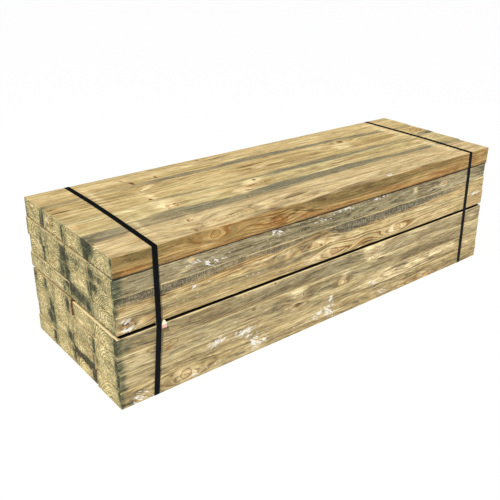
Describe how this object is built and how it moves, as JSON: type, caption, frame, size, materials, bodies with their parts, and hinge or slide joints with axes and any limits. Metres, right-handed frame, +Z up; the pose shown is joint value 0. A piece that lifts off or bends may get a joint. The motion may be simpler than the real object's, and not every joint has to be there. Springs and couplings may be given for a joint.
{
  "type": "strapped pack of railway sleepers",
  "caption": "Pack of rough-sawn treated softwood railway sleepers for landscaping, stacked in tiers with thin spacers at mid height and bound by two embossed straps.",
  "frame": {"origin": "bottom centre of the pack's box, on the floor it lies on", "axes": "+X along the sleepers, +Y from the front long side (column 4) to the back (column 1), +Z up"},
  "size_m": [2.418, 0.8156, 0.6816],
  "materials": {
    "treated_softwood": "rough-sawn, treated, weathered grey-green in patches",
    "spacer_wood": "sawn, unfinished, one end painted pink",
    "strapping": "embossed, satin"
  },
  "bodies": {
    "root": {"sleeper_t1_c1": "treated_softwood", "sleeper_t1_c2": "treated_softwood", "sleeper_t1_c3": "treated_softwood", "sleeper_t1_c4": "treated_softwood", "sleeper_t2_c1": "treated_softwood", "sleeper_t2_c2": "treated_softwood", "sleeper_t2_c3": "treated_softwood", "sleeper_t2_c4": "treated_softwood", "sleeper_t3_c1": "treated_softwood", "sleeper_t3_c2": "treated_softwood", "sleeper_t3_c3": "treated_softwood", "sleeper_t3_c4": "treated_softwood", "sleeper_t4_c1": "treated_softwood", "sleeper_t4_c2": "treated_softwood", "sleeper_t4_c3": "treated_softwood", "sleeper_t4_c4": "treated_softwood", "sleeper_t5_c1": "treated_softwood", "sleeper_t5_c2": "treated_softwood", "sleeper_t5_c3": "treated_softwood", "sleeper_t5_c4": "treated_softwood", "sleeper_t6_c1": "treated_softwood", "sleeper_t6_c2": "treated_softwood", "sleeper_t6_c3": "treated_softwood", "sleeper_t6_c4": "treated_softwood", "sleeper_t7_c1": "treated_softwood", "sleeper_t7_c2": "treated_softwood", "sleeper_t7_c3": "treated_softwood", "sleeper_t7_c4": "treated_softwood", "sleeper_t8_c1": "treated_softwood", "sleeper_t8_c2": "treated_softwood", "sleeper_t8_c3": "treated_softwood", "sleeper_t8_c4": "treated_softwood", "spacer_near": "spacer_wood", "spacer_far": "spacer_wood", "strap_near": "strapping", "strap_far": "strapping"}
  },
  "joints": []
}
